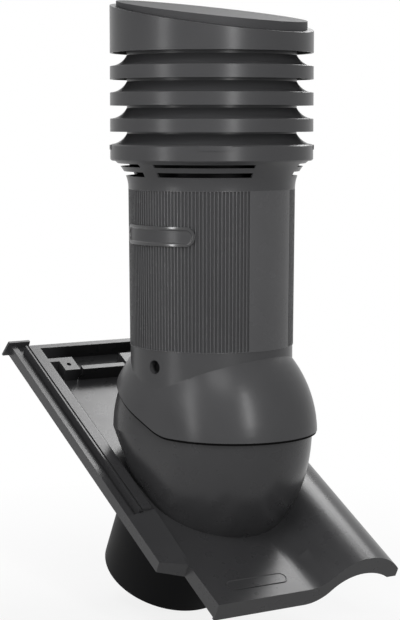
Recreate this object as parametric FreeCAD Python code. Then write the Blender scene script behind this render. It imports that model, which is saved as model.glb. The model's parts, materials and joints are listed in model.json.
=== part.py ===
import FreeCAD, Part
import os
from math import sin, cos, tan, radians, degrees, atan, atan2, sqrt

# Roof tile vent: a moulded roof tile with a domed pipe passage, a black sleeve under it,
# and an upright insulated pipe that swivels on the dome and ends in a louvred rain cap.
# Millimetres, +X across the tile, +Y up the roof, +Z straight up.
# The origin lies where the pipe's axis meets the plane that the tile rests on.

V = FreeCAD.Vector

# Setting out
roof_pitch = 28.1          # slope of the plane the tile rests on, degrees
chimney_turn = 14.9        # how far the pipe is turned about its own axis, degrees
swivel_height = 74.5       # swivel centre above the resting plane, square to it
rail_height = 19.0         # resting plane to the top of the side ribs

# Tile
wall = 3.0                 # moulded wall of the tile and its dome
nose_reach = 182.0         # sleeve axis to the nose, along the slope
head_reach = 240.0         # sleeve axis to the head
pan_left = 75.0            # axis to the pan's left edge
pan_flat = 26.0            # axis to where the flat pan ends
roll_crest = 86.0          # axis to the roll's crest
roll_edge = 127.5          # axis to the roll's right edge
crest_height = 28.5        # crest above the pan
crest_r = 42.0             # radius of the roll towards the pan
edge_height = 8.5          # right edge of the roll above the pan
nose_pan_drop = 2.0        # pan below the rib tops at the nose
head_pan_drop = 16.0       # pan below the rib tops at the head
lip_depth = 19.0           # turned-down nose
edge_lip_depth = 9.0       # turned-down right edge
tip_width = 24.0           # the nose is only that deep this near to the right edge
roll_rise = 7.6            # how much more the roll stands above the pan at the head

# Water channel on the left
strip_left = 100.0
strip_nose_outer = 111.0   # where the channel ends towards the nose, at its outer wall
strip_nose_inner = 124.0   # and at the pan
strip_head = 250.0
channel_end = 43.0         # the channel's lower end, down the slope from the axis
outer_rail_width = 6.5
outer_rail_height = 12.0
channel_depth = 10.0
rib_width = 1.7
rib_place = 89.0
ledge_width = 10.3
ledge_round = 3.0          # rounded edge of the ledge towards the pan
groove_depth = 1.5         # between rib and ledge
apron_low = -4.5           # inner edge of the strip's lower end, below the ribs' tops
end_wall_right = -78.0
flare_low = 7.0            # the end wall stands out to the left, more so at its foot
flare_top = 2.5

# Head bars that lock into the tile above
bar_width = 6.2
upper_bar_place = 229.5
left_bar_place = 203.5
right_bar_place = 186.5
upper_bar_right = 66.0
right_bar_right = 62.0
left_boss = -63.0
right_boss = 13.0
boss_width = 17.5
boss_gap = 3.5
nail_hole_r = 2.6
nail_place = 197.0
nail_inset = 8.5           # from the boss's left side

# Dome and hood: both are barrels about the swivel axis, one inside the other
barrel_side_r = 82.0       # radius of the hood's flank, seen from the front
barrel_mid = 29.0          # its centre's distance from the swivel axis
hood_wall = 3.0
swivel_gap = 2.0           # running gap between hood and dome
collar_r = 79.4
collar_top = 84.7
spigot_length = 23.3       # the hood's neck inside the outer pipe
rim_height = 3.0           # front rim above the swivel centre
rim_slope = 27.5           # slope of the back part of the rim, degrees
rim_bend_place = 8.0       # where the rim starts to rise, in front of the axis
rim_bend = 14.0            # length of that bend, to each side
dome_top_height = 46.0     # dome's open top above the swivel centre, at the axis
dome_top_slope = 15.0      # degrees, down towards the nose
dome_meet = 0.0            # height where the round top of the dome meets its lower part
dome_mid_side_r = 77.5     # end radius, sideways shift and front reach of its outline halfway down
dome_mid_shift = 5.0
dome_mid_front = 106.5
dome_foot_side_r = 74.5    # and on the pan
dome_foot_shift = 9.5
dome_foot_front = 115.0

# Lock screws that hold the set angle
lock_height = 68.8         # above the swivel centre
lock_hole_r = 6.7
lock_pocket_wall = 2.3
lock_shank_r = 2.6
lock_head_r = 5.2
lock_head_height = 3.0
lock_nut_width = 9.0
lock_nut_height = 1.7
swing = 8.0                # how far the chimney tilts each way, degrees
ear_place = 67.2           # outer face of the dome's ears, from the axis
ear_wall = 2.4
ear_half_angle = 16.0
ear_top_r = 77.5
ear_root_r = 58.0

# Sleeve under the tile
sleeve_r = 67.3
sleeve_wall = 3.0
sleeve_reach = 180.0       # swivel centre to its lower end
sleeve_flange = 3.0
sleeve_margin = 4.5        # flange beyond the sleeve where the dome is narrower
shoulder_reach = 80.0      # swivel centre to the shoulder under the flange
shoulder_step = 2.2
seal_thickness = 1.8
screw_r = 1.9
screw_head_r = 3.8
screw_head_height = 2.2
flange_boss_r = 4.6
flange_boss_height = 14.0
screw_inset = 6.0          # screws inside the flange's edge
screw_angles = (-100, -35, 35, 90)

# Pipe
duct_r = 62.5
duct_wall = 2.7
duct_bottom = 25.0
duct_rise = 20.0           # duct above the bell collar's top
neck_seal_rise = 11.3      # rubber ring that centres the duct in the hood's neck, above the collar
seal_height = 8.0
duct_seal_rise = 1.5       # and the one in the cap's base, above the bell collar's top
insulation_gap = 4.0       # between the foam and the pieces above and below it
tube_r_low = 80.0
tube_r_high = 81.1
tube_wall = 2.8
tube_length = 152.3

# Bell collar with slots
bell_height = 27.0
bell_socket = 15.0         # its end inside the outer pipe
bell_r = 94.5
bell_mid_rise = 0.55        # a place on the flare, as shares of its rise and spread
bell_mid_spread = 0.25
slot_low_rise = 12.3       # above the outer pipe
slot_low_height = 4.4
slot_high_rise = 21.4
slot_high_height = 3.0
slot_from = 20.0           # degrees from the front
slot_to = 84.0

# Cap
cap_r = 98.5
cap_neck_r = 82.3
ring_face = 12.5
ring_bevel = 0.4
ring_pitch = 25.1          # from ring to ring
base_ring_face = 15.6
base_bevel = 1.3
tab_half_angle = 9.2       # clip tabs on the base ring
tab_height = 4.4
tab_proud = 0.7
ring_count = 3
cove_rise = 10.2
cove_bulge = 5.2           # a place on the curve between ring and neck, from the neck
cove_sag = 4.0             # and above the ring's face
lip_cover = 6.0            # how far a lip reaches up inside the ring above
base_pitch = 27.7          # bell collar's top to the lowest louvre ring
hood_height = 34.2         # cap hood's rim to its slanted top, at the axis
cap_slant = 9.7            # degrees, down towards the front
lid_r = 92.3
lid_rise = 6.3             # above the hood's top at the axis
lid_slant = 8.25
louvre_wall = 2.6
column_count = 4
column_place = 72.5        # centres of the columns that space the rings
column_r = 6.0
web_height = 5.0           # webs between the columns and the necks
web_width = 4.0
tie_r = 2.0
tie_hold = 12.0            # length of a tie screw in the cap's hood
duct_collar_r = 65.5
duct_collar_height = 12.0
fit = 0.3                  # clearance between parts that are pushed together
beyond = 400.0             # how far cutting blocks reach

# Heights above the swivel centre
spigot_top = collar_top + spigot_length
tube_top = collar_top + tube_length
bell_top = tube_top + bell_height
hood_bottom = bell_top + base_pitch + ring_count * ring_pitch
cap_top = hood_bottom + hood_height

swivel = V(0, 0, swivel_height / cos(radians(roof_pitch)))
rest_to_swivel = swivel_height - rail_height


def tile_place(shape):
    """Put a shape built flat (x across, y up the slope, z square to it) on the slope."""
    turn = FreeCAD.Rotation(V(1, 0, 0), roof_pitch)
    foot = swivel - turn.multVec(V(0, 0, rest_to_swivel))
    shape.Placement = FreeCAD.Placement(foot, turn).multiply(shape.Placement)
    return shape


def chimney_place(shape):
    """Put a shape built about the swivel centre, front at -y, on the dome."""
    turn = FreeCAD.Rotation(V(0, 0, 1), chimney_turn)
    shape.Placement = FreeCAD.Placement(swivel, turn).multiply(shape.Placement)
    return shape


def face_of(points):
    """A flat face from corner points; a triple in the list is (end, through) of an arc."""
    edges, here = [], points[0]
    for item in points[1:] + [points[0]]:
        if isinstance(item, tuple):
            edges.append(Part.Arc(here, item[1], item[0]).toShape())
            here = item[0]
        else:
            edges.append(Part.makeLine(here, item))
            here = item
    return Part.Face(Part.Wire(edges))


def turned(points, angle=360):
    """A solid of revolution about z from (radius, height) corners."""
    corners = []
    for p in points:
        if len(p) == 2:
            corners.append(V(p[0], 0, p[1]))
        else:
            corners.append((V(p[0], 0, p[1]), V(p[2], 0, p[3])))
    return face_of(corners).revolve(V(0, 0, 0), V(0, 0, 1), angle)


def box(x0, x1, y0, y1, z0, z1):
    return Part.makeBox(x1 - x0, y1 - y0, z1 - z0, V(x0, y0, z0))


def ring(r_out, r_in, z0, z1):
    outer = Part.makeCylinder(r_out, z1 - z0, V(0, 0, z0))
    return outer.cut(Part.makeCylinder(r_in, z1 - z0, V(0, 0, z0)))


def sector(r_out, r_in, z0, z1, a0, a1):
    """Part of a ring, between two angles measured from the front towards +x."""
    piece = Part.makeCylinder(r_out, z1 - z0, V(0, 0, z0), V(0, 0, 1), a1 - a0)
    piece = piece.cut(Part.makeCylinder(r_in, z1 - z0, V(0, 0, z0)))
    piece.rotate(V(0, 0, 0), V(0, 0, 1), a0 - 90)
    return piece


def barrel(side_r):
    """The swivelling form: round about x, with rounded flanks and small flat ends."""
    top = V(0, 0, barrel_mid + side_r)
    profile = face_of([V(-side_r, 0, 0), V(-side_r, 0, barrel_mid),
                       (V(side_r, 0, barrel_mid), top), V(side_r, 0, 0)])
    return profile.revolve(V(0, 0, 0), V(1, 0, 0), 360)


pan_fall = degrees(atan((head_pan_drop - nose_pan_drop) / (nose_reach + head_reach)))
pan_pitch = roof_pitch - pan_fall
pan_drop_at_axis = nose_pan_drop + (head_pan_drop - nose_pan_drop) * nose_reach / (nose_reach + head_reach)


def pan_height(along):
    """Top of the pan above the resting ribs' tops, at a place up the slope."""
    return -pan_drop_at_axis - along * tan(radians(pan_fall))


# The pan's plane, as a height at the upright axis, from the swivel centre
foot_y = (rest_to_swivel + pan_drop_at_axis) * sin(radians(roof_pitch))
foot_z = -(rest_to_swivel + pan_drop_at_axis) * cos(radians(roof_pitch))
pan_at_axis = foot_z - foot_y * tan(radians(pan_pitch))
under_pan_at_axis = pan_at_axis - wall / cos(radians(pan_pitch))
pan_below_swivel = -under_pan_at_axis * cos(radians(pan_pitch))


def pan_place(shape):
    """Put a shape built about z, with the swivel centre at the origin, square to the pan."""
    lean = FreeCAD.Placement(V(0, 0, 0), FreeCAD.Rotation(V(1, 0, 0), pan_pitch))
    shape.Placement = lean.multiply(shape.Placement)
    return shape


def tile_side(shape):
    """Move a shape built about the swivel centre to the part's frame."""
    shape.translate(swivel)
    return shape


fan_y = (dome_meet - under_pan_at_axis) / tan(radians(pan_pitch))
dome_side_r = barrel_side_r - hood_wall - swivel_gap
dome_front_r = barrel_mid + dome_side_r


def outline(end_r, shift, front, back, turn):
    """Closed outline with straight flanks and half-round ends, in the xy plane."""
    x0, x1, y0, y1 = shift - end_r, shift + end_r, end_r - front, back - end_r
    wire = Part.Wire([
        Part.makeLine(V(x1, y0, 0), V(x1, y1, 0)),
        Part.Arc(V(x1, y1, 0), V(shift, back, 0), V(x0, y1, 0)).toShape(),
        Part.makeLine(V(x0, y1, 0), V(x0, y0, 0)),
        Part.Arc(V(x0, y0, 0), V(shift, -front, 0), V(x1, y0, 0)).toShape()])
    wire.rotate(V(0, 0, 0), V(0, 0, 1), turn)
    return wire


def reach(slope, r):
    """How far a plane that leans by slope runs before it is r from the swivel centre."""
    middle = fan_y * cos(radians(slope)) + dome_meet * sin(radians(slope))
    return middle, sqrt(middle ** 2 - fan_y ** 2 - dome_meet ** 2 + r ** 2)


def dome_section(slope, end_r, shift, front_r, back_r, turn):
    """One outline of the dome, on a plane that leans by slope about a line behind it."""
    middle, front = reach(slope, front_r)
    back = reach(slope, back_r)[1]
    wire = outline(end_r, shift, front, back, turn)
    lean = FreeCAD.Rotation(V(1, 0, 0), slope)
    lean_place = FreeCAD.Placement(V(0, fan_y, dome_meet) - lean.multVec(V(0, middle, 0)), lean)
    wire.Placement = lean_place.multiply(wire.Placement)
    return wire


def lower_dome(inset):
    """The dome from under the hood's rim down to the pan's underside."""
    end_r, ends = dome_side_r - inset, dome_front_r - inset
    return Part.makeLoft([
        dome_section(0, end_r, 0, ends, ends, chimney_turn),
        dome_section(pan_pitch / 2, dome_mid_side_r - inset, dome_mid_shift, dome_mid_front - inset, ends,
                     chimney_turn / 2),
        dome_section(pan_pitch, dome_foot_side_r - inset, dome_foot_shift, dome_foot_front - inset, ends, 0)],
        True, False)


def upper_dome(side_r, top):
    """The dome above that: a barrel cut by a leaning plane at the top."""
    shape = barrel(side_r).common(box(-beyond, beyond, -beyond, beyond, dome_meet, beyond))
    block = box(-beyond, beyond, -beyond, beyond, -2 * beyond, 0)
    block.Placement = FreeCAD.Placement(V(0, 0, top), FreeCAD.Rotation(V(1, 0, 0), dome_top_slope))
    return shape.common(block)


def fan_plate(r_in, r_out, half_angle, x0, x1):
    """Part of a ring about the x axis, with its middle at the top."""
    plate = sector(r_out, r_in, x0, x1, -90 - half_angle, -90 + half_angle)
    plate.rotate(V(0, 0, 0), V(0, 1, 0), 90)
    return plate


def lock_ears():
    """Two flat ears with arc slots, which rise from the dome's sides."""
    inner = ear_place - ear_wall
    slot_r = lock_shank_r + fit
    ear = fan_plate(36, ear_top_r, ear_half_angle, inner, ear_place)
    root = fan_plate(36, ear_root_r, ear_half_angle, inner, barrel_side_r).common(barrel(dome_side_r))
    ear = ear.fuse(root)
    slot = fan_plate(lock_height - slot_r, lock_height + slot_r, swing, inner, barrel_side_r)
    for angle in (-swing, swing):
        end = Part.makeCylinder(slot_r, barrel_side_r, V(inner, 0, lock_height), V(1, 0, 0))
        end.rotate(V(0, 0, 0), V(1, 0, 0), angle)
        slot = slot.fuse(end)
    ear = ear.cut(slot)
    other = ear.mirror(V(0, 0, 0), V(1, 0, 0))
    return ear.fuse(other)


def roll_lift(place):
    """How much more the roll stands above the pan here than at the nose."""
    return roll_rise * (place + nose_reach) / (nose_reach + head_reach)


def crest_arcs(place, drop):
    """Corners of the tile's outline across the roof, lowered square to itself by drop."""
    across = roll_crest - pan_flat
    crest = crest_height + roll_lift(place)
    hollow_r = (across ** 2 + crest ** 2) / (2 * crest) - crest_r
    tilt = atan2(across, crest_r + hollow_r - crest)
    far = roll_edge - roll_crest
    fall = crest_height - edge_height
    far_r = (far ** 2 + fall ** 2) / (2 * fall)
    end = atan2(far, far_r - fall)

    def on(cx, cz, r, angle):
        return V(cx + r * sin(angle), 0, cz + r * cos(angle))
    hollow = (pan_flat, hollow_r, -(hollow_r + drop))
    near = (roll_crest, crest - crest_r, crest_r - drop)
    beyond = (roll_crest, crest - far_r, far_r - drop)
    return [on(*hollow, 0), on(*hollow, -tilt / 2), on(*hollow, -tilt), on(*near, -tilt / 2), on(*near, 0),
            on(*beyond, end / 2), on(*beyond, end)]


def roll_face(place, top_drop, low, low_drop):
    """Face across the tile between its top line and a lower one."""
    t = crest_arcs(place, top_drop)
    b = [p - V(0, 0, low) for p in crest_arcs(place, low_drop)]
    left = V(-pan_left, 0, 0)
    face = face_of([left - V(0, 0, top_drop), t[0], (t[2], t[1]), (t[4], t[3]), (t[6], t[5]),
                    b[6], (b[4], b[5]), (b[2], b[3]), (b[0], b[1]), left - V(0, 0, low + low_drop)])
    face.translate(V(0, place, pan_height(place)))
    return face


def between(face_at):
    """A straight loft along the tile between its sections at the nose and at the head."""
    return Part.makeLoft([face_at(-nose_reach).OuterWire, face_at(head_reach).OuterWire], True, True)


def edge_face(place):
    """Section of the turned-down right edge."""
    top = pan_height(place) + edge_height + roll_lift(place)
    x0, x1, low = roll_edge - wall, roll_edge, top - edge_lip_depth
    return face_of([V(x0, place, top), V(x1, place, top - 1), V(x1, place, low), V(x0, place, low)])


def skirt_face(place):
    """Section of the pan's left wall."""
    top = pan_height(place) - wall / 2
    x0, x1, low = -pan_left, wall - pan_left, top - lip_depth
    return face_of([V(x0, place, top), V(x1, place, top), V(x1, place, low), V(x0, place, low)])


def tile_plate():
    """Pan and roll, the turned-down nose and right edge, and the pan's left wall."""
    plate = between(lambda place: roll_face(place, 0, 0, wall))
    lip = roll_face(-nose_reach, wall / 2, lip_depth, 0).extrude(V(0, wall, 0))
    edge_low = pan_height(-nose_reach) + edge_height - edge_lip_depth
    lip = lip.cut(box(roll_edge - tip_width, beyond, -beyond, 0, -beyond, edge_low))
    skirt = between(skirt_face).common(box(-beyond, beyond, -beyond, beyond, -rail_height, beyond))
    return plate.multiFuse([lip, between(edge_face), skirt])


def water_channel():
    """Channel, rib and ledge on the left, and the apron that closes them below."""
    low, top = -rail_height, -rail_height + outer_rail_height
    left, inner = -strip_left, wall - pan_left
    rail_in = left + outer_rail_width
    rib_in = rib_width - rib_place
    ledge_in = -pan_left - ledge_width
    r = ledge_round
    floor = face_of([V(left, 0, low), V(left, 0, top), V(rail_in, 0, top),
                     V(rail_in + 1.5, 0, -channel_depth), V(end_wall_right, 0, -channel_depth),
                     V(end_wall_right, 0, -channel_depth - wall), V(left + wall, 0, -channel_depth - wall),
                     V(left + wall, 0, low)])
    raised = face_of([V(-rib_place - 0.5, 0, -channel_depth), V(-rib_place, 0, 0), V(rib_in, 0, 0),
                      V(rib_in, 0, -groove_depth), V(ledge_in, 0, -groove_depth), V(ledge_in, 0, 0),
                      V(inner - r, 0, 0), (V(inner, 0, -r), V(inner - r * 0.293, 0, -r * 0.293)),
                      V(inner, 0, low), V(inner - wall, 0, low), V(inner - wall, 0, -wall),
                      V(rib_in - 0.3, 0, -wall), V(rib_in - 0.3, 0, -channel_depth - wall),
                      V(-rib_place - 0.5, 0, -channel_depth - wall)])
    for section in (floor, raised):
        section.translate(V(0, -channel_end, 0))
    strip = floor.extrude(V(0, strip_head + channel_end, 0))
    strip = strip.fuse(raised.extrude(V(0, upper_bar_place + bar_width + channel_end, 0)))

    def across(place, height, drop):
        return Part.Wire(Part.makePolygon([
            V(left + drop, place, low - 1), V(left + drop, place, top - drop), V(inner, place, height - drop),
            V(inner, place, low - 1), V(left + drop, place, low - 1)]))
    upper, lower = -channel_end, -strip_nose_inner
    solid = Part.makeLoft([across(upper, -groove_depth, 0), across(lower, apron_low, 0)], True, True)
    hollow = Part.makeLoft([across(upper - wall, -groove_depth, wall), across(lower, apron_low, wall)],
                           True, True)
    ends = face_of([V(left - 1, lower, 0), V(left - 1, -strip_nose_outer, 0), V(left, -strip_nose_outer, 0),
                    V(inner, -strip_nose_inner, 0)])
    inside = face_of([V(left - 1, lower, 0), V(left - 1, wall - strip_nose_outer, 0),
                      V(left, wall - strip_nose_outer, 0), V(inner, wall - strip_nose_inner, 0),
                      V(inner, lower, 0)])
    for face in (ends, inside):
        face.translate(V(0, 0, -beyond))
    hollow = hollow.cut(inside.extrude(V(0, 0, 2 * beyond)))
    apron = solid.cut(hollow).cut(ends.extrude(V(0, 0, 2 * beyond)))
    apron = apron.common(box(-beyond, 0, -beyond, beyond, low, beyond))
    end = face_of([V(left - flare_low, strip_head, low), V(left - flare_top, strip_head, -wall),
                   V(end_wall_right, strip_head, -wall), V(end_wall_right, strip_head, low)])
    return strip.multiFuse([apron, end.extrude(V(0, -wall, 0))])


def head_bars():
    """Bars on the pan near its head, with two nail bosses."""
    step = boss_width + boss_gap
    bars = []
    for x0, x1, place in ((-pan_left - ledge_width, upper_bar_right, upper_bar_place),
                          (-pan_left, left_boss, left_bar_place),
                          (left_boss + step, right_boss - boss_gap, right_bar_place),
                          (right_boss + step - boss_gap, right_bar_right, left_bar_place)):
        bars.append(box(x0, x1, place, place + bar_width, pan_height(place) - wall / 2, 0))
    for x0 in (left_boss, right_boss):
        boss = box(x0, x0 + boss_width, right_bar_place + 0.5, left_bar_place + bar_width,
                   pan_height(right_bar_place) - wall, 0)
        bars.append(boss)
    return bars


def nail_holes():
    low = pan_height(left_bar_place) - 2 * wall
    holes = []
    for x in (left_boss, right_boss):
        holes.append(Part.makeCylinder(nail_hole_r, -low, V(x + nail_inset, nail_place, low)))
    return holes


def on_foot(angle, inset):
    """A place near the dome's foot, on its outline, from the sleeve's axis."""
    front = reach(pan_pitch, dome_foot_front)[1] - dome_foot_side_r
    back = reach(pan_pitch, dome_front_r)[1] - dome_foot_side_r
    r = dome_foot_side_r - inset
    y = back if angle > 0 else -front
    return V(dome_foot_shift + r * cos(radians(angle)), y + r * sin(radians(angle)), 0)


def make_tile():
    tile = tile_plate().fuse(water_channel())
    tile = tile.multiFuse(head_bars()).cut(Part.makeCompound(nail_holes()))
    tile = tile_place(tile)
    top = upper_dome(dome_side_r, dome_top_height)
    top.rotate(V(0, 0, 0), V(0, 0, 1), chimney_turn)
    outer = top.fuse(lower_dome(0))
    hollow = upper_dome(dome_side_r - wall, beyond)
    hollow.rotate(V(0, 0, 0), V(0, 0, 1), chimney_turn)
    hollow = hollow.fuse(lower_dome(wall))
    ears = lock_ears()
    ears.rotate(V(0, 0, 0), V(0, 0, 1), chimney_turn)
    bosses, pilots = [], []
    for angle in screw_angles:
        at = on_foot(angle, screw_inset) - V(0, 0, pan_below_swivel)
        bosses.append(Part.makeCylinder(flange_boss_r, flange_boss_height, at))
        pilots.append(Part.makeCylinder(screw_r, flange_boss_height - 3, at))
    bosses = pan_place(Part.makeCompound(bosses)).common(outer)
    tile = tile.fuse(tile_side(outer.copy())).cut(tile_side(hollow.copy()))
    tile = tile.fuse(tile_side(ears)).fuse(tile_side(bosses))
    return tile.cut(tile_side(pan_place(Part.makeCompound(pilots)))).removeSplitter()


def make_sleeve_parts():
    """Sleeve, its seal and its screws, built about the axis square to the pan."""
    front, back = reach(pan_pitch, dome_foot_front)[1], reach(pan_pitch, dome_front_r)[1]
    face = Part.Face(outline(dome_foot_side_r, dome_foot_shift, front, back, 0))

    def plate(top, thickness):
        low = top - thickness
        blank = face.extrude(V(0, 0, thickness))
        blank.translate(V(0, 0, low))
        blank = blank.fuse(Part.makeCylinder(sleeve_r + sleeve_margin, thickness, V(0, 0, low)))
        holes = []
        for angle in screw_angles:
            at = on_foot(angle, screw_inset) + V(0, 0, low)
            holes.append(Part.makeCylinder(screw_r + fit, thickness, at))
        return blank.cut(Part.makeCompound(holes)).removeSplitter()
    under_pan = -pan_below_swivel
    bore = Part.makeCylinder(sleeve_r - sleeve_wall, beyond, V(0, 0, -beyond))
    flange_top = under_pan - seal_thickness
    pipe = Part.makeCylinder(sleeve_r, sleeve_reach, V(0, 0, -sleeve_reach))
    pipe = pipe.fuse(Part.makeCylinder(sleeve_r + shoulder_step, shoulder_reach, V(0, 0, -shoulder_reach)))
    for round_part in (bore, pipe):
        round_part.rotate(V(0, 0, 0), V(1, 0, 0), pan_fall)
    pipe = pipe.cut(box(-beyond, beyond, -beyond, beyond, flange_top, beyond))
    seal = plate(under_pan, seal_thickness).cut(bore)
    sleeve = plate(flange_top, sleeve_flange).fuse(pipe).cut(bore)
    parts = {"roof_sleeve": sleeve, "sleeve_seal": seal}
    head_top = flange_top - sleeve_flange
    for n, a in enumerate(screw_angles):
        at = on_foot(a, screw_inset) + V(0, 0, head_top)
        screw = Part.makeCylinder(screw_r - 0.05, seal_thickness + sleeve_flange + flange_boss_height - 5, at)
        head = Part.makeCylinder(screw_head_r, screw_head_height, at - V(0, 0, screw_head_height))
        parts["sleeve_screw_%d" % (n + 1)] = screw.fuse(head)
    return {name: tile_side(pan_place(shape)) for name, shape in parts.items()}


def rim_cut():
    """Everything under the hood's rim: level in front, rising behind."""
    slope, x = radians(rim_slope), -beyond
    start = V(x, -rim_bend_place - rim_bend, rim_height)
    mid = V(x, -rim_bend_place, rim_height + rim_bend * tan(slope / 2) * 0.5)
    end = V(x, rim_bend * cos(slope) - rim_bend_place, rim_height + rim_bend * sin(slope))
    back = V(x, beyond, end.z + (beyond - end.y) * tan(slope))
    profile = face_of([V(x, -beyond, -beyond), V(x, -beyond, rim_height), start, (end, mid), back,
                       V(x, beyond, -beyond)])
    return profile.extrude(V(2 * beyond, 0, 0))


def make_hood():
    spigot_r = tube_r_low - tube_wall - fit
    below = box(-beyond, beyond, -beyond, beyond, -beyond, collar_top)
    below_shelf = box(-beyond, beyond, -beyond, beyond, -beyond, collar_top - hood_wall)
    outer = barrel(barrel_side_r).common(below).fuse(Part.makeCylinder(collar_r, collar_top))
    inside = barrel(barrel_side_r - hood_wall).common(below_shelf)
    inside = inside.fuse(Part.makeCylinder(collar_r - hood_wall, collar_top - hood_wall))
    cups, holes = [], []
    for side in (-1, 1):
        out = V(side, 0, 0)
        at = V(0, 0, lock_height) + out * (ear_place + fit)
        cups.append(Part.makeCylinder(lock_hole_r + lock_pocket_wall, 30, at, out).common(outer))
        holes.append(Part.makeCylinder(lock_hole_r, 30, at + out * lock_pocket_wall, out))
        holes.append(Part.makeCylinder(lock_shank_r + fit, 30, at - out * 5, out))
    hood = outer.fuse(Part.makeCylinder(spigot_r, spigot_top)).cut(inside)
    hood = hood.cut(Part.makeCylinder(spigot_r - hood_wall, spigot_top))
    return hood.multiFuse(cups).cut(Part.makeCompound(holes)).cut(rim_cut()).removeSplitter()


def make_lock_parts():
    """The two screws in the hood's side holes, with their nuts behind the ears."""
    parts = {}
    inner = ear_place - ear_wall - 0.1
    head_from = ear_place + fit + lock_pocket_wall
    for name, side in (("left", -1), ("right", 1)):
        out = V(side, 0, 0)
        end = V(0, 0, lock_height) + out * (inner - lock_nut_height)
        shank = Part.makeCylinder(lock_shank_r, head_from - inner + lock_nut_height, end, out)
        at = V(0, 0, lock_height) + out * head_from
        head = Part.makeCylinder(lock_head_r, lock_head_height, at, out)
        parts["lock_screw_" + name] = shank.fuse(head).removeSplitter()
        x = inner - lock_nut_height
        nut = box(x, inner, -lock_nut_width / 2, lock_nut_width / 2, lock_height - lock_nut_width / 2,
                  lock_height + lock_nut_width / 2)
        nut = nut if side > 0 else nut.mirror(V(0, 0, 0), V(1, 0, 0))
        parts["lock_nut_" + name] = nut.cut(Part.makeCylinder(lock_shank_r + 0.1, 9, end - out, out))
    return parts


def make_pipe_parts():
    tube_in = tube_r_low - tube_wall
    spigot_r = tube_in - fit
    neck_r = spigot_r - hood_wall
    bell_low = tube_top - bell_socket
    throat_r = tube_r_high - louvre_wall
    ring_seat = collar_top + neck_seal_rise
    duct_seat = bell_top + duct_seal_rise
    tube = turned([(tube_in, collar_top), (tube_r_low, collar_top), (tube_r_high, tube_top),
                   (tube_in, tube_top)])
    spread = (bell_r - tube_r_high) * bell_mid_spread
    mid_z = tube_top + bell_height * bell_mid_rise
    bell = turned([(spigot_r - louvre_wall, bell_low), (spigot_r, bell_low), (spigot_r, tube_top),
                   (tube_r_high, tube_top), (bell_r, bell_top, tube_r_high + spread, mid_z),
                   (bell_r - louvre_wall, bell_top),
                   (spigot_r - louvre_wall, tube_top, throat_r + spread, mid_z)])
    slots = []
    for rise, height in ((slot_low_rise, slot_low_height), (slot_high_rise, slot_high_height)):
        z = tube_top + rise
        for start in (slot_from, 180 - slot_to, 180 + slot_from, 360 - slot_to):
            slots.append(sector(cap_r, spigot_r, z, z + height, start, start + slot_to - slot_from))
    return {
        "outer_tube": tube,
        "bell_collar": bell.cut(Part.makeCompound(slots)),
        "inner_duct": ring(duct_r, duct_r - duct_wall, duct_bottom, bell_top + duct_rise),
        "insulation": ring(spigot_r, duct_r + fit, spigot_top + insulation_gap, bell_low - insulation_gap),
        "neck_seal": ring(neck_r, duct_r, ring_seat, ring_seat + seal_height),
        "duct_seal": ring(duct_collar_r, duct_r, duct_seat, duct_seat + seal_height)}


def louvre(face_height, pitch, bevel, foot):
    """Profile of a louvre: upright face, hollow curve to the neck, lip that ends inside the ring above."""
    neck = face_height + cove_rise
    lip = pitch + lip_cover
    w = louvre_wall
    return foot + [(cap_r, face_height - bevel), (cap_r - bevel, face_height),
                   (cap_neck_r, neck, cap_neck_r + cove_bulge, face_height + cove_sag),
                   (cap_neck_r, lip), (cap_neck_r - w, lip), (cap_neck_r - w, neck - w),
                   (cap_r - w, face_height - w, cap_neck_r + cove_bulge - w, face_height + cove_sag - w)]


def lifted(profile, z):
    return [(p[0], p[1] + z) + ((p[2], p[3] + z) if len(p) > 2 else ()) for p in profile]


def around(shape):
    """Copies of a shape at the places of the columns."""
    copies = []
    for n in range(column_count):
        copy = shape.copy()
        copy.rotate(V(0, 0, 0), V(0, 0, 1), (n + 0.5) * 360 / column_count)
        copies.append(copy)
    return copies


def on_column(r, bottom, height):
    return Part.makeCylinder(r, height, V(0, -column_place, bottom))


def columns(bottom, height):
    """The upright columns that space the rings."""
    return around(on_column(column_r, bottom, height).cut(on_column(tie_r + fit, bottom, height)))


def webs(neck):
    """Webs between the columns and the neck of a ring, whose foot is at a height."""
    return around(box(-web_width / 2, web_width / 2, louvre_wall / 2 - cap_neck_r,
                      column_r / 2 - column_place - column_r, neck - web_height, neck))


def slanted(r, height, slant, low):
    """A round block from low up to a plane that leans down towards the front."""
    block = Part.makeCylinder(r, height - low + r, V(0, 0, low))
    above = box(-2 * r, 2 * r, -2 * r, 2 * r, 0, 2 * r)
    above.Placement = FreeCAD.Placement(V(0, 0, height), FreeCAD.Rotation(V(1, 0, 0), slant))
    return block.cut(above)


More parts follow.
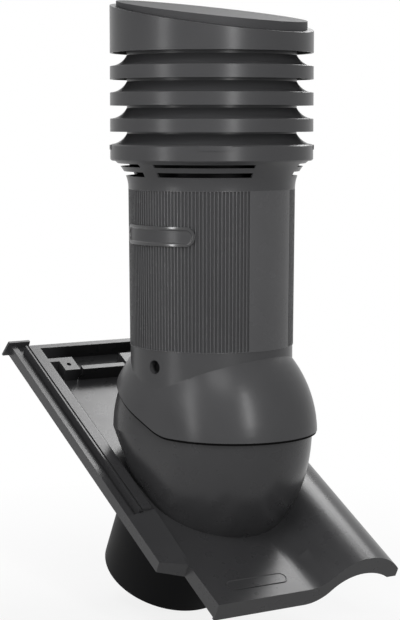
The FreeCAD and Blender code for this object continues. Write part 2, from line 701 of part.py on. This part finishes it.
def make_cap_parts():
    parts = {}
    w = louvre_wall
    first = bell_top + base_pitch
    foot = [(cap_r - w, w), (duct_collar_r + w, w), (duct_collar_r + w, duct_collar_height),
            (duct_collar_r, duct_collar_height), (duct_collar_r, 0), (cap_r - base_bevel, 0),
            (cap_r, base_bevel)]
    base = turned(lifted(louvre(base_ring_face, base_pitch, base_bevel, foot), bell_top))
    tab_top = bell_top + base_ring_face - base_bevel / 2
    tabs = [sector(cap_r + tab_proud, cap_r - louvre_wall / 2, tab_top - tab_height, tab_top,
                   a - tab_half_angle, a + tab_half_angle) for a in (45, 135, 225, 315)]
    column_from = bell_top + w / 2
    base = base.multiFuse(tabs + columns(column_from, first - column_from)
                          + webs(bell_top + base_ring_face + cove_rise))
    holes = around(on_column(tie_r + fit, bell_top - w, column_r * 4))
    parts["cap_base"] = base.cut(Part.makeCompound(holes)).removeSplitter()
    for n in range(ring_count):
        low = first + n * ring_pitch
        shape = turned(lifted(louvre(ring_face, ring_pitch, ring_bevel, [(cap_r - w, 0), (cap_r, 0)]), low))
        lugs = columns(low, ring_pitch) + webs(low + ring_face + cove_rise)
        parts["louvre_ring_%d" % (n + 1)] = shape.multiFuse(lugs).removeSplitter()
    hood = slanted(cap_r, cap_top, cap_slant, hood_bottom)
    hood = hood.cut(slanted(cap_r - w, cap_top - w, cap_slant, hood_bottom))
    posts = Part.makeCompound(around(on_column(column_r, hood_bottom, hood_height + column_place)))
    posts = posts.common(slanted(cap_r, cap_top - w / 2, cap_slant, hood_bottom))
    pilots = around(on_column(tie_r, hood_bottom, tie_hold + 1))
    parts["cap_hood"] = hood.fuse(posts).cut(Part.makeCompound(pilots)).removeSplitter()
    lid = slanted(lid_r, cap_top + lid_rise, lid_slant, hood_bottom)
    lid = lid.cut(slanted(lid_r - w, cap_top + lid_rise - w, lid_slant, hood_bottom))
    parts["cap_lid"] = lid.cut(slanted(cap_r, cap_top, cap_slant, hood_bottom - 1))
    tie = on_column(tie_r - 0.05, bell_top, hood_bottom + tie_hold - bell_top)
    tie = tie.fuse(on_column(screw_head_r, bell_top - screw_head_height, screw_head_height))
    for n, copy in enumerate(around(tie)):
        parts["cap_tie_%d" % (n + 1)] = copy
    return parts


pieces = {"base_tile": make_tile()}
pieces.update(make_sleeve_parts())
chimney = {"swivel_hood": make_hood()}
chimney.update(make_lock_parts())
chimney.update(make_pipe_parts())
chimney.update(make_cap_parts())
for name, shape in chimney.items():
    pieces[name] = chimney_place(shape)

os.makedirs("parts", exist_ok=True)
for name, shape in pieces.items():
    if len(shape.Solids) == 1:
        shape = shape.Solids[0].copy() if shape.ShapeType != "Solid" else shape
    shape.exportStep("parts/" + name + ".step")
    print(name, shape.isValid(), len(shape.Solids), round(shape.Volume / 1000, 1))
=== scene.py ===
import bpy
import json
from math import atan2, cos, degrees, pi, radians, sin
from mathutils import Matrix, Vector

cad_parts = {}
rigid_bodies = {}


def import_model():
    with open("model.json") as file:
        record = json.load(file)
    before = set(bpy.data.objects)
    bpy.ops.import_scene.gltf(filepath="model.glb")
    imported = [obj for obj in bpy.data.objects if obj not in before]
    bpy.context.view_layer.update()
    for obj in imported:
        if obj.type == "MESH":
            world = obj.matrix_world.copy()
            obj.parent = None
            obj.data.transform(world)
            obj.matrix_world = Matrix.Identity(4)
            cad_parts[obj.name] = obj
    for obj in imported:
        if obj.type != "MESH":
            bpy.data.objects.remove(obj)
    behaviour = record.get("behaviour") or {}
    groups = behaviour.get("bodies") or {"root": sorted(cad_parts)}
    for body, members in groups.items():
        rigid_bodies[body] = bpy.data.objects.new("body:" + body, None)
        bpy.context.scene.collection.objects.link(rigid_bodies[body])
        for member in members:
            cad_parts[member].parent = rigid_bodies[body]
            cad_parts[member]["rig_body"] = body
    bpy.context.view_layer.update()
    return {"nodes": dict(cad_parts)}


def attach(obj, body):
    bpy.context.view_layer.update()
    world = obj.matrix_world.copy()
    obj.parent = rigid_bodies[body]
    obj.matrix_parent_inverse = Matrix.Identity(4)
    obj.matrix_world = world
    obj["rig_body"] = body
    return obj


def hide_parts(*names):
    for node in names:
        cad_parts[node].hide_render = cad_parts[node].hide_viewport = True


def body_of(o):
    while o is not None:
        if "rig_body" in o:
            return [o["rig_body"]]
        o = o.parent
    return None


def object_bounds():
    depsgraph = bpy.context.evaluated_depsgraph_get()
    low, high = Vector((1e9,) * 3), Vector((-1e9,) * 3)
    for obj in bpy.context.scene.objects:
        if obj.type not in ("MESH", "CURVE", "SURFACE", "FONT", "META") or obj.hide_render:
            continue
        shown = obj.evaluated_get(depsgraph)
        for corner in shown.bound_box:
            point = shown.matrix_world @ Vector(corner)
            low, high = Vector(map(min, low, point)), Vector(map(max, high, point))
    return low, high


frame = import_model()
scene = bpy.context.scene

# Roof tile: the largest moulding, with pan, roll, water channel, head bars and dome in one piece.
# Injection-moulded polypropylene, coloured right through in anthracite, a little glossier than
# the chimney because its mould is polished.


def colour(code):
    """Linear colour from an sRGB hex code."""
    parts = [int(code[i:i + 2], 16) / 255 for i in (1, 3, 5)]
    return [c / 12.92 if c <= 0.04045 else ((c + 0.055) / 1.055) ** 2.4 for c in parts] + [1]


def add_node(tree, kind, settings, feeds, operation=None):
    """Add a node, set its sockets and operation, and connect feeds {socket: output}."""
    node = tree.nodes.new(kind)
    if operation:
        node.operation = operation
    for key, value in settings.items():
        node.inputs[key].default_value = value
    for key, output in feeds.items():
        tree.links.new(output, node.inputs[key])
    return node


def moulded_plastic(name, code, roughness, gloss, grain_mm, grain):
    """Plastic as its mould leaves it: satin, with a fine grain, uneven gloss and a drift of colour.

    The colour drifts by 5 % over patches of about 70 mm, the gloss over patches of about 18 mm.
    The grain, finer in life, is drawn at grain_mm so that it shows.
    """
    material = bpy.data.materials.new(name)
    material.use_nodes = True
    tree = material.node_tree
    shader = tree.nodes["Principled BSDF"]
    shader.inputs["IOR"].default_value = 1.49
    shader.inputs["Specular IOR Level"].default_value = gloss
    place = add_node(tree, "ShaderNodeTexCoord", {}, {}).outputs["Object"]
    drift = add_node(tree, "ShaderNodeTexNoise", {"Scale": 14, "Detail": 4}, {"Vector": place})
    ramp = add_node(tree, "ShaderNodeValToRGB", {}, {"Fac": drift.outputs["Fac"]})
    base = colour(code)
    for stop, position, share in zip(ramp.color_ramp.elements, (0.35, 0.68), (0.95, 1.05)):
        stop.position = position
        stop.color = [c * share for c in base[:3]] + [1]
    tree.links.new(ramp.outputs["Color"], shader.inputs["Base Color"])
    uneven = 0.012
    sheen = add_node(tree, "ShaderNodeTexNoise", {"Scale": 55, "Detail": 3}, {"Vector": place})
    spread = add_node(tree, "ShaderNodeMapRange",
                      {"From Min": 0.3, "From Max": 0.7,
                       "To Min": roughness - uneven, "To Max": roughness + uneven},
                      {"Value": sheen.outputs["Fac"]})
    tree.links.new(spread.outputs["Result"], shader.inputs["Roughness"])
    fine = add_node(tree, "ShaderNodeTexNoise", {"Scale": 1000 / grain_mm, "Detail": 2},
                    {"Vector": place})
    bump = add_node(tree, "ShaderNodeBump", {"Strength": grain, "Distance": 0.0002},
                    {"Height": fine.outputs["Fac"]})
    tree.links.new(bump.outputs["Normal"], shader.inputs["Normal"])
    return material


def give_finish(node, material):
    """Give a node of the model, whose shape is right as it is, its material."""
    for slot in frame["nodes"][node].material_slots:
        slot.material = material


tile_plastic = moulded_plastic("moulded_polypropylene_tile", "#29292a",
                               roughness=0.28, gloss=0.22, grain_mm=0.7, grain=0.015)
give_finish("base_tile", tile_plastic)

# Name plate of the tile: a bare oval plate, 67 by 14 mm, with a raised rim, moulded on the pan
# just above the nose, of the tile's own plastic. It lies flat on the pan, which falls 1.9 degrees
# less than the roof.
roof_pitch, pan_fall = radians(28.1), radians(1.9)
swivel_above_battens, swivel_above_ribs = 0.0745, 0.0555
plate_place = (-0.0205, -0.1595, -0.0026)
swivel = Vector((0, 0, swivel_above_battens / cos(roof_pitch)))
tile_up = Vector((0, -sin(roof_pitch), cos(roof_pitch)))
on_tile = (Matrix.Translation(swivel - tile_up * swivel_above_ribs)
           @ Matrix.Rotation(roof_pitch, 4, "X"))


def only(obj):
    """Select one object alone and make it the active one."""
    bpy.ops.object.select_all(action="DESELECT")
    obj.select_set(True)
    bpy.context.view_layer.objects.active = obj


def pick_faces(obj, wanted):
    """Go to edit mode with only the wanted faces of the active object selected."""
    bpy.ops.object.mode_set(mode="EDIT")
    bpy.ops.mesh.select_mode(type="FACE")
    bpy.ops.mesh.select_all(action="DESELECT")
    bpy.ops.object.mode_set(mode="OBJECT")
    for face in obj.data.polygons:
        face.select = wanted(face)
    bpy.ops.object.mode_set(mode="EDIT")


def finish_mesh(obj, edge, angle=30):
    """Round the sharp edges a little and shade the rest smooth, led by the larger faces."""
    only(obj)
    if edge:
        bevel = obj.modifiers.new("edge", "BEVEL")
        bevel.width = edge
        bevel.segments = 2
        bevel.angle_limit = radians(angle)
        bpy.ops.object.modifier_apply(modifier="edge")
    bpy.ops.object.shade_smooth_by_angle(angle=radians(angle))
    weights = obj.modifiers.new("weights", "WEIGHTED_NORMAL")
    weights.keep_sharp = True
    bpy.ops.object.modifier_apply(modifier="weights")


def oval_plate(name, length, height, rise, rim, materials):
    """A bare oval plate with a raised rim, flat on its back at the origin, its length along X.

    A disc is drawn out to an oval and cut across every 4 mm, so that it can be bent. Its floor is
    then sunk inside the rim. The last of the materials goes on the floor.
    """
    straight = length - height
    bpy.ops.mesh.primitive_cylinder_add(vertices=48, radius=height / 2, depth=rise,
                                        location=(0, 0, 0))
    plate = bpy.context.object
    plate.name = name
    bpy.ops.object.mode_set(mode="EDIT")
    for side in (-1, 1):
        bpy.ops.mesh.select_all(action="DESELECT")
        bpy.ops.object.mode_set(mode="OBJECT")
        for vertex in plate.data.vertices:
            vertex.select = vertex.co.x * side > 0.0001
        bpy.ops.object.mode_set(mode="EDIT")
        bpy.ops.transform.translate(value=(side * straight / 2, 0, 0))
    cuts = int(straight / 0.004)
    for cut in range(1, cuts):
        bpy.ops.mesh.select_all(action="SELECT")
        x = (cut / cuts - 0.5) * straight
        bpy.ops.mesh.bisect(plane_co=(x, 0, 0), plane_no=(1, 0, 0))
    bpy.ops.object.mode_set(mode="OBJECT")
    pick_faces(plate, lambda face: face.normal.z > 0.9)
    bpy.ops.mesh.inset(thickness=rim)
    bpy.ops.mesh.inset(thickness=rim / 5, depth=-rise * 0.45)
    bpy.ops.mesh.select_mode(type="VERT")
    bpy.ops.object.mode_set(mode="OBJECT")
    for material in materials:
        plate.data.materials.append(material)
    for face in plate.data.polygons:
        face.material_index = len(materials) - 1 if face.select else 0
    return plate


tile_plate = oval_plate("tile_name_plate", length=0.067, height=0.014, rise=0.0012, rim=0.0013,
                        materials=[tile_plastic])
finish_mesh(tile_plate, edge=0.0002)
tile_plate.data.transform(on_tile @ Matrix.Translation(plate_place)
                          @ Matrix.Rotation(-pan_fall, 4, "X"))
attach(tile_plate, "tile")


# Sleeve under the tile: blow-moulded black polyethylene, dull and deep black, screwed to bosses
# round the dome's foot, with a rubber seal between its flange and the pan.
def copy_node(node, name, material):
    """A copy of a node of the model, under a new name and of a new material."""
    obj = bpy.data.objects.new(name, frame["nodes"][node].data.copy())
    scene.collection.objects.link(obj)
    obj.data.materials.clear()
    obj.data.materials.append(material)
    return obj


def join_facets(obj, flatten):
    """Merge a copy's loose triangles and, where wanted, dissolve them into flat faces."""
    only(obj)
    bpy.ops.object.mode_set(mode="EDIT")
    bpy.ops.mesh.select_all(action="SELECT")
    bpy.ops.mesh.remove_doubles(threshold=0.00002)
    if flatten:
        bpy.ops.mesh.dissolve_limited(angle_limit=radians(0.5))
    bpy.ops.object.mode_set(mode="OBJECT")


def dress(node, material, edge):
    """Put a finished copy, with softened edges, in the place of a node of the model."""
    source = frame["nodes"][node]
    obj = copy_node(node, node + "_moulding", material)
    join_facets(obj, flatten=edge > 0)
    finish_mesh(obj, edge)
    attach(obj, body_of(source)[0])
    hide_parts(node)


black_plastic = moulded_plastic("moulded_polyethylene_black", "#0a0a0b",
                                roughness=0.50, gloss=0.06, grain_mm=0.9, grain=0.12)
dress("roof_sleeve", black_plastic, edge=0.0004)

# Rubber seals: moulded EPDM rings, matt and almost black. One is clamped under the sleeve's
# flange, one holds the duct in the hood's neck, and one centres the duct in the cap.
rubber = moulded_plastic("moulded_epdm_rubber", "#161617",
                         roughness=0.72, gloss=0.30, grain_mm=0.5, grain=0.20)
for seal in ("sleeve_seal", "neck_seal", "duct_seal"):
    dress(seal, rubber, edge=0.0002)


# Screws, nuts and ties: cold-formed steel with a zinc coat, a pale metal with uneven gloss. The
# screws hold the sleeve's flange, the ties run up through the cap's columns, and the nuts sit
# behind the dome's ears.
def zinc_coat():
    """Zinc coat on steel, its gloss uneven in spangles of about 3 mm."""
    material = bpy.data.materials.new("zinc_plated_steel")
    material.use_nodes = True
    tree = material.node_tree
    shader = tree.nodes["Principled BSDF"]
    shader.inputs["Base Color"].default_value = colour("#b4b6ba")
    shader.inputs["Metallic"].default_value = 1
    place = add_node(tree, "ShaderNodeTexCoord", {}, {}).outputs["Object"]
    spangle = add_node(tree, "ShaderNodeTexNoise", {"Scale": 300, "Detail": 3}, {"Vector": place})
    spread = add_node(tree, "ShaderNodeMapRange", {"To Min": 0.25, "To Max": 0.45},
                      {"Value": spangle.outputs["Fac"]})
    tree.links.new(spread.outputs["Result"], shader.inputs["Roughness"])
    return material


zinc = zinc_coat()
for node in sorted(frame["nodes"]):
    if node.startswith(("sleeve_screw", "cap_tie", "lock_nut")):
        dress(node, zinc, edge=0.0002)

# Swivel hood: an injection-moulded shell that turns on the dome, held by two black screws in its
# flanks. Satin anthracite polypropylene from a finely eroded mould.
anthracite = moulded_plastic("moulded_polypropylene_chimney", "#333334",
                             roughness=0.30, gloss=0.14, grain_mm=0.7, grain=0.03)
dress("swivel_hood", anthracite, edge=0.0004)
for screw in ("lock_screw_left", "lock_screw_right"):
    dress(screw, black_plastic, edge=0.0003)
chimney_turn = radians(14.9)
on_chimney = Matrix.Translation(swivel) @ Matrix.Rotation(chimney_turn, 4, "Z")


# Shadow under the hood's rim: a near-black strip, set back 0.9 mm in the hood's rim and 2.2 mm
# high, put where the gap under the rim is only shade. It is painted shadow, a thin black line.
def rim_shadow_strip():
    """A near-black strip of painted shadow, drawn down from the faces of the hood's own rim."""
    set_back, strip_height = 0.0009, 0.0022
    front_level, bend_rise, slope = 0.0030, 0.0065, 0.5206
    bend_start, slope_start = -0.0220, 0.0044
    # Painted shadow: near-black, standing in for the shade in the gap under the hood's rim.
    shadow_black = moulded_plastic("painted_shadow_black", "#060606",
                               roughness=0.80, gloss=0.03, grain_mm=0.5, grain=0.20)
    shadow_strip = copy_node("swivel_hood", "hood_rim_painted_shadow", shadow_black)
    shadow_strip.data.transform(on_chimney.inverted())
    join_facets(shadow_strip, flatten=False)

    def off_rim(face):
        """Whether a face isn't on the rim: level in front, then a bend, then a straight slope."""
        y, z = face.center.y, face.center.z
        if y < bend_start:
            rim = front_level
        elif y < slope_start:
            share = (y - bend_start) / (slope_start - bend_start)
            rim = front_level + bend_rise * share ** 2
        else:
            rim = front_level + bend_rise + (y - slope_start) * slope
        return face.normal.z >= -0.8 or abs(z - rim) >= 0.0010

    pick_faces(shadow_strip, off_rim)
    bpy.ops.mesh.delete(type="FACE")
    bpy.ops.mesh.select_all(action="SELECT")
    bpy.ops.mesh.inset(thickness=set_back)
    bpy.ops.mesh.select_all(action="INVERT")
    bpy.ops.mesh.delete(type="FACE")
    bpy.ops.mesh.select_all(action="SELECT")
    bpy.ops.mesh.extrude_region_move(TRANSFORM_OT_translate={"value": (0, 0, -strip_height)})
    bpy.ops.mesh.select_all(action="SELECT")
    bpy.ops.mesh.normals_make_consistent(inside=False)
    bpy.ops.mesh.select_mode(type="VERT")
    bpy.ops.object.mode_set(mode="OBJECT")
    shadow_strip.data.transform(on_chimney)
    bpy.ops.object.shade_smooth_by_angle(angle=radians(40))
    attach(shadow_strip, "chimney")


rim_shadow_strip()


# Outer pipe: extruded polypropylene, 152 mm long, 80 mm in radius and 1.1 mm wider at its top.
# Grooves 2.3 mm wide and 1.1 mm deep leave a rib every 2.5 degrees, between a plain band of 40
# degrees at the front and one at the back. The die polishes the ribs, and the grooves stay dull.
# The grooves are also coloured darker than the ribs, as painted shade.
def ribbed_pipe():
    """The pipe: a cone of 144 faces, whose side faces are sunk one by one."""
    low, high, ribs = 0.0847, 0.2370, 144
    half_rib, flank, groove_depth, wall_thickness = 0.0006, 0.0006, 0.0011, 0.0028
    plain_half = 20
    bpy.ops.mesh.primitive_cone_add(vertices=ribs, radius1=0.0800, radius2=0.0811,
                                    depth=high - low, end_fill_type="NOTHING", location=(0, 0, 0))
    pipe = bpy.context.object
    pipe.name = "ribbed_pipe"
    wall = pipe.modifiers.new("wall", "SOLIDIFY")
    wall.thickness = wall_thickness
    wall.offset = -1
    bpy.ops.object.modifier_apply(modifier="wall")

    def is_grooved(face):
        """Whether a face is on the outside, clear of the plain bands."""
        from_front = abs(degrees(atan2(face.center.x, -face.center.y)))
        outward = face.normal.x * face.center.x + face.normal.y * face.center.y > 0
        upright = abs(face.normal.z) < 0.5
        return outward and upright and plain_half < from_front < 180 - plain_half

    pick_faces(pipe, is_grooved)
    bpy.ops.mesh.inset(thickness=half_rib, use_individual=True)
    bpy.ops.object.mode_set(mode="OBJECT")
    for face in pipe.data.polygons:
        face.material_index = int(face.select)
    bpy.ops.object.mode_set(mode="EDIT")
    bpy.ops.mesh.inset(thickness=flank, depth=-groove_depth, use_individual=True)
    bpy.ops.mesh.select_mode(type="VERT")
    bpy.ops.object.mode_set(mode="OBJECT")
    pipe.data.transform(on_chimney @ Matrix.Translation((0, 0, (low + high) / 2)))
    on_ribs = moulded_plastic("extruded_polypropylene_ribs", "#3c3c3d",
                              roughness=0.27, gloss=0.18, grain_mm=0.9, grain=0.04)
    # Painted shade: the grooves' colour is darker than the ribs', standing in for the shade in
    # them.
    grooves_painted_shade = moulded_plastic("extruded_polypropylene_grooves_painted_shade", "#2f2f30",
                                 roughness=0.50, gloss=0.12, grain_mm=0.9, grain=0.10)
    pipe.data.materials.append(on_ribs)
    pipe.data.materials.append(grooves_painted_shade)
    finish_mesh(pipe, edge=0.00025, angle=35)
    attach(pipe, "chimney")
    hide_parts("outer_tube")


ribbed_pipe()

# Name plate of the pipe: a bare oval plate of moulded polypropylene, 92 by 19 mm, bent round the
# pipe's left side and stuck to it. Its raised rim is polished and catches the light.
polished = moulded_plastic("moulded_polypropylene_polished", "#262627",
                           roughness=0.18, gloss=0.50, grain_mm=0.9, grain=0.04)
plate_length, plate_radius, plate_level = 0.092, 0.0813, 0.1941
pipe_plate = oval_plate("pipe_name_plate", plate_length, height=0.0192, rise=0.0026, rim=0.0030,
                        materials=[polished, anthracite])
pipe_plate.data.transform(Matrix.Rotation(pi / 2, 4, "X"))
only(pipe_plate)
bend = pipe_plate.modifiers.new("bend", "SIMPLE_DEFORM")
bend.deform_method = "BEND"
bend.deform_axis = "Z"
bend.angle = plate_length / plate_radius
bpy.ops.object.modifier_apply(modifier="bend")
finish_mesh(pipe_plate, edge=0.0009)
pipe_plate.data.transform(on_chimney @ Matrix.Rotation(-pi / 2, 4, "Z")
                          @ Matrix.Translation((0, -plate_radius, plate_level)))
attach(pipe_plate, "chimney")

# Bell collar: a flare with two rows of slots, moulded in the same anthracite polypropylene. It
# sits on the pipe's top and carries the cap.
give_finish("bell_collar", anthracite)

# Inner duct: a plain extruded pipe of black polyethylene, 125 mm wide, that leads the air from
# the dome to the cap. The seals in the hood's neck and in the cap hold it.
dress("inner_duct", black_plastic, edge=0.0004)


# Foam sleeve: moulded expanded polystyrene, pushed between the duct and the outer pipe to keep
# the duct from sweating. Pale grey and matt, with pores of about 1.5 mm.
def expanded_foam():
    """Foam with round pores."""
    material = bpy.data.materials.new("expanded_polystyrene")
    material.use_nodes = True
    tree = material.node_tree
    shader = tree.nodes["Principled BSDF"]
    shader.inputs["Base Color"].default_value = colour("#5b5c5e")
    shader.inputs["Roughness"].default_value = 0.9
    place = add_node(tree, "ShaderNodeTexCoord", {}, {}).outputs["Object"]
    pores = add_node(tree, "ShaderNodeTexVoronoi", {"Scale": 700}, {"Vector": place})
    bump = add_node(tree, "ShaderNodeBump", {"Strength": 0.4, "Distance": 0.0004},
                    {"Height": pores.outputs["Distance"]})
    tree.links.new(bump.outputs["Normal"], shader.inputs["Normal"])
    return material


dress("insulation", expanded_foam(), edge=0)

# Rain cap: base ring with four clip tabs, three louvre rings, hood with slanted top, inset lid.
# Each is one moulding of the same anthracite plastic as the hood, stacked on columns and held by
# the ties. The lid comes from an eroded mould and is duller.
for piece in ("cap_base", "louvre_ring_1", "louvre_ring_2", "louvre_ring_3"):
    give_finish(piece, anthracite)
dress("cap_hood", anthracite, edge=0.0004)
dull_lid = moulded_plastic("eroded_polypropylene_lid", "#353536",
                           roughness=0.58, gloss=0.05, grain_mm=0.9, grain=0.06)
dress("cap_lid", dull_lid, edge=0.0004)

# Camera: a 102.3 mm lens, 1.7 m from the pipe and 31.9 degrees to the left of the tile's nose,
# looking 6.2 degrees down.
lens = bpy.data.cameras.new("camera")
lens.lens = 102.32
lens.sensor_width = 36
camera = bpy.data.objects.new("camera", lens)
scene.collection.objects.link(camera)
camera.location = (-0.9086, -1.4598, 0.3892)
camera.rotation_euler = (radians(90 - 6.218), 0, radians(-31.52))
scene.camera = camera

# Floor: white paper under the sleeve. The camera and reflections see it almost white, darker
# where the vent shades it, and pure white from 0.7 m out, so that no horizon shows.
gap_below, shade_reach, white_reach = 0.001, 0.25, 0.7
bpy.ops.mesh.primitive_plane_add(size=6, location=(0, 0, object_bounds()[0][2] - gap_below))
floor = bpy.context.object
floor.name = "floor"
paper = bpy.data.materials.new("white_paper")
paper.use_nodes = True
tree = paper.node_tree
shader = tree.nodes["Principled BSDF"]
shader.inputs["Base Color"].default_value = colour("#c4c4c4")
shader.inputs["Roughness"].default_value = 0.9
shader.inputs["Specular IOR Level"].default_value = 0.1
place = add_node(tree, "ShaderNodeTexCoord", {}, {}).outputs["Object"]
reach = add_node(tree, "ShaderNodeVectorMath", {}, {0: place}, operation="LENGTH")
fade = add_node(tree, "ShaderNodeMapRange",
                {"From Min": shade_reach, "From Max": white_reach, "To Min": 0.84, "To Max": 1.0},
                {"Value": reach.outputs["Value"]})
path = add_node(tree, "ShaderNodeLightPath", {}, {})
seen = add_node(tree, "ShaderNodeMath", {},
                {0: path.outputs["Is Camera Ray"], 1: path.outputs["Is Glossy Ray"]},
                operation="MAXIMUM")
share = add_node(tree, "ShaderNodeMath", {}, {0: seen.outputs[0], 1: fade.outputs["Result"]},
                 operation="MULTIPLY")
glow = add_node(tree, "ShaderNodeEmission", {"Color": (1, 1, 1, 1), "Strength": 1.0}, {})
blend = add_node(tree, "ShaderNodeMixShader", {},
                 {0: share.outputs[0], 1: shader.outputs[0], 2: glow.outputs[0]})
tree.links.new(blend.outputs[0], tree.nodes["Material Output"].inputs["Surface"])
floor.data.materials.append(paper)

# World: pure white to the camera, in reflections and to transmitted rays, and a quarter as
# strong as a light, so that the lamps shape the object.
world = bpy.data.worlds.new("studio")
scene.world = world
world.use_nodes = True
tree = world.node_tree
tree.nodes.clear()
path = add_node(tree, "ShaderNodeLightPath", {}, {})
seen = add_node(tree, "ShaderNodeMath", {},
                {0: path.outputs["Is Camera Ray"], 1: path.outputs["Is Transmission Ray"]},
                operation="MAXIMUM")
shown = add_node(tree, "ShaderNodeMath", {},
                 {0: seen.outputs[0], 1: path.outputs["Is Glossy Ray"]}, operation="MAXIMUM")
soft = add_node(tree, "ShaderNodeBackground", {"Color": (1, 1, 1, 1), "Strength": 0.25}, {})
white = add_node(tree, "ShaderNodeBackground", {"Color": (1, 1, 1, 1), "Strength": 1.0}, {})
mix = add_node(tree, "ShaderNodeMixShader", {},
               {0: shown.outputs[0], 1: soft.outputs[0], 2: white.outputs[0]})
add_node(tree, "ShaderNodeOutputWorld", {}, {"Surface": mix.outputs[0]})


# Lamps: two tall strips beside the camera, which draw the two upright highlights, one lamp high
# in front, and two behind, which shine along the tile towards the camera.
def softbox(name, angle, distance, height, target, wide, tall, power):
    """A soft lamp, placed by its angle to the right of the camera, aimed at a point."""
    camera_side = 31.9
    around = radians(angle - camera_side)
    lamp = bpy.data.lights.new(name, "AREA")
    lamp.shape = "RECTANGLE"
    lamp.size, lamp.size_y, lamp.energy = wide, tall, power
    obj = bpy.data.objects.new(name, lamp)
    scene.collection.objects.link(obj)
    obj.location = (distance * sin(around), -distance * cos(around), height)
    aim = Vector(target) - obj.location
    obj.rotation_euler = aim.to_track_quat("-Z", "Y").to_euler()


softbox("left_strip", angle=-54, distance=2.2, height=0.85, target=(0, 0, 0.85),
        wide=0.25, tall=2.0, power=32)
softbox("right_strip", angle=23, distance=2.4, height=1.2, target=(0, 0, 1.2),
        wide=0.30, tall=1.9, power=62)
softbox("top", angle=-15, distance=1.2, height=1.6, target=(0, 0, 0.2),
        wide=0.8, tall=0.8, power=14)
softbox("back_right", angle=152, distance=0.9, height=1.0, target=(-0.03, 0.2, 0.15),
        wide=0.6, tall=0.6, power=9.5)
softbox("back_top", angle=168.4, distance=1.337, height=1.71, target=(-0.12, 0.21, 0.19),
        wide=0.9, tall=0.9, power=10.5)

scene.view_settings.view_transform = "Standard"
